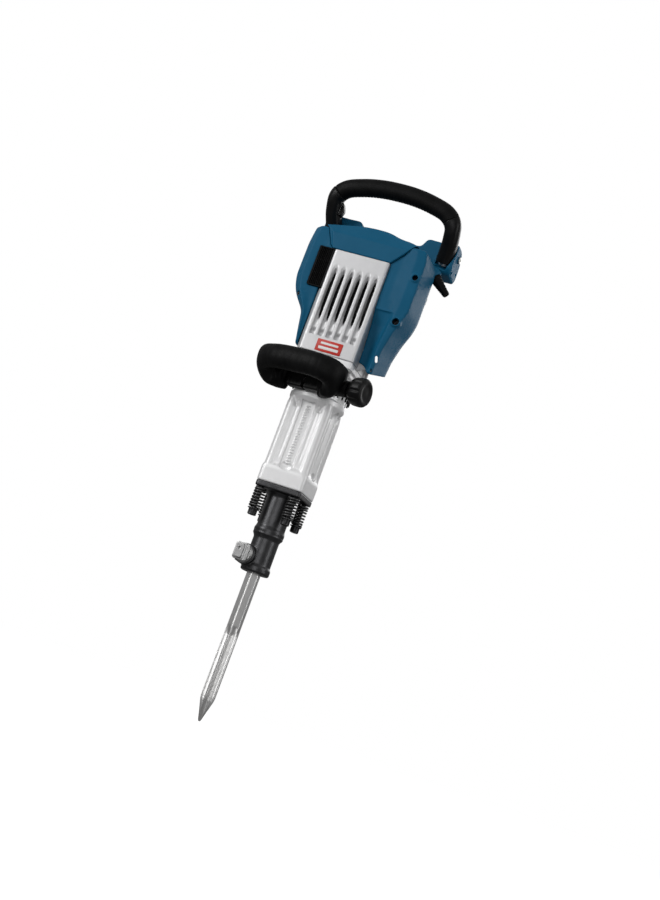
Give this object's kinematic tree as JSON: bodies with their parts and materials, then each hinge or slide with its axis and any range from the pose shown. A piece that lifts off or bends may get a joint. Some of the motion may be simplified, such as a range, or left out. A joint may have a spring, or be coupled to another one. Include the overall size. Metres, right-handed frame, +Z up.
{
  "type": "electric jackhammer",
  "caption": "Upright electric jackhammer with a pointed chisel, sprung tool holder, ribbed metal housing between moulded covers, damped top handle and a D-shaped side handle.",
  "frame": {"origin": "centre of the blunt end of the chisel point", "axes": "+Z up the tool axis towards the top handle, the ribbed front panel faces -Y, +X towards the strain relief side"},
  "size_m": [0.2773, 0.2452, 1.02],
  "materials": {
    "blue_plastic": "moulded",
    "cast_aluminium": "satin",
    "soft_rubber": "matt",
    "black_plastic": "moulded",
    "gunmetal": "oiled satin",
    "bright_steel": "ground",
    "spring_steel": "black oxide",
    "red_plate": "printed plate",
    "copper_winding": "varnished",
    "laminated_steel": "dull",
    "green_board": "potted",
    "carbon": "matt"
  },
  "bodies": {
    "machine": {"barrel": "cast_aluminium", "cylinder": "bright_steel", "gear_housing": "cast_aluminium", "gear_cover": "cast_aluminium", "front_label": "red_plate", "left_cover": "blue_plastic", "right_cover": "blue_plastic", "air_grille": "black_plastic", "top_hood": "blue_plastic", "rear_cover": "blue_plastic", "strain_relief": "soft_rubber", "damper_rail": "gunmetal", "guide_post_left": "bright_steel", "guide_post_right": "bright_steel", "damper_spring_left": "spring_steel", "damper_spring_right": "spring_steel", "stator": "laminated_steel", "crank_bearing": "bright_steel", "motor_bearing_front": "bright_steel", "motor_bearing_rear": "bright_steel", "brush_holder_front": "carbon", "brush_holder_rear": "carbon", "electronics_module": "green_board", "housing_bolt_1": "bright_steel", "housing_bolt_2": "bright_steel", "housing_bolt_3": "bright_steel", "housing_bolt_4": "bright_steel", "flange_screw_1": "spring_steel", "flange_screw_2": "spring_steel", "flange_screw_3": "spring_steel", "flange_screw_4": "spring_steel", "flange_spring_1": "spring_steel", "flange_spring_2": "spring_steel", "flange_spring_3": "spring_steel", "flange_spring_4": "spring_steel"},
    "holder": {"tool_holder": "gunmetal"},
    "lock": {"lock_pin": "gunmetal"},
    "chisel": {"chisel": "bright_steel"},
    "side_handle": {"side_handle_band": "black_plastic", "side_handle_grip": "soft_rubber"},
    "clamp": {"clamp_bolt": "bright_steel", "clamp_knob": "black_plastic"},
    "main_handle": {"handle_yoke": "blue_plastic", "handle_tube": "bright_steel", "main_grip": "soft_rubber", "leg_cover_left": "black_plastic", "leg_cover_right": "black_plastic", "bracket_bolt_left": "bright_steel", "bracket_bolt_right": "bright_steel"},
    "switch": {"switch_rocker": "black_plastic"},
    "motor": {"armature": "copper_winding", "cooling_fan": "black_plastic", "motor_pinion": "bright_steel"},
    "layshaft": {"intermediate_gear": "bright_steel"},
    "crank": {"crankshaft": "bright_steel", "crank_gear": "bright_steel"},
    "rod": {"connecting_rod": "laminated_steel"},
    "piston": {"piston": "laminated_steel"},
    "striker": {"striker": "bright_steel"},
    "impact_bolt": {"impact_bolt": "bright_steel"}
  },
  "joints": [
    {"name": "holder_float", "type": "slide", "parent": "machine", "child": "holder", "axis": [0, 0, 1], "range_m": [-0.006, 0], "stiffness_N_per_m": 60000, "springref_m": 0.003, "deforming": ["flange_spring_1", "flange_spring_2", "flange_spring_3", "flange_spring_4"]},
    {"name": "lock_turn", "type": "hinge", "parent": "holder", "child": "lock", "pos_m": [-0.018, 0, 0.291], "axis": [0, 1, 0], "range_deg": [0, 180]},
    {"name": "chisel_slide", "type": "slide", "parent": "holder", "child": "chisel", "axis": [0, 0, 1], "range_m": [0, 0.011]},
    {"name": "side_handle_swivel", "type": "hinge", "parent": "machine", "child": "side_handle", "pos_m": [0, 0, 0.612], "axis": [0, 0, 1], "continuous": true},
    {"name": "clamp_turn", "type": "hinge", "parent": "side_handle", "child": "clamp", "pos_m": [-0.01282, -0.05554, 0.606], "axis": [0.9744, -0.225, 0], "range_deg": [0, 720]},
    {"name": "handle_damper", "type": "slide", "parent": "machine", "child": "main_handle", "axis": [0, 0, 1], "range_m": [-0.012, 0], "stiffness_N_per_m": 15000, "springref_m": 0.004, "deforming": ["damper_spring_left", "damper_spring_right"]},
    {"name": "switch_press", "type": "hinge", "parent": "main_handle", "child": "switch", "pos_m": [-0.1005, 0.041, 0.952], "axis": [0, 1, 0], "range_deg": [0, 8]},
    {"name": "motor_spin", "type": "hinge", "parent": "machine", "child": "motor", "pos_m": [0, 0, 0.859], "axis": [1, 0, 0], "continuous": true},
    {"name": "layshaft_spin", "type": "hinge", "parent": "machine", "child": "layshaft", "pos_m": [0, 0, 0.8275], "axis": [1, 0, 0], "continuous": true},
    {"name": "crank_spin", "type": "hinge", "parent": "machine", "child": "crank", "pos_m": [0, 0, 0.7835], "axis": [1, 0, 0], "continuous": true},
    {"name": "rod_turn", "type": "hinge", "parent": "crank", "child": "rod", "pos_m": [0, 0, 0.7995], "axis": [1, 0, 0], "continuous": true},
    {"name": "piston_stroke", "type": "slide", "parent": "machine", "child": "piston", "axis": [0, 0, 1], "range_m": [-0.032, 0]},
    {"name": "striker_stroke", "type": "slide", "parent": "machine", "child": "striker", "axis": [0, 0, 1], "range_m": [0, 0.025]},
    {"name": "impact_bolt_stroke", "type": "slide", "parent": "machine", "child": "impact_bolt", "axis": [0, 0, 1], "range_m": [0, 0.003]}
  ],
  "couplings": [
    {"joint": "layshaft_spin", "follows": "motor_spin", "ratio": -0.27273},
    {"joint": "crank_spin", "follows": "motor_spin", "ratio": 0.090909},
    {"joint": "rod_turn", "follows": "motor_spin", "ratio": -0.090909}
  ]
}
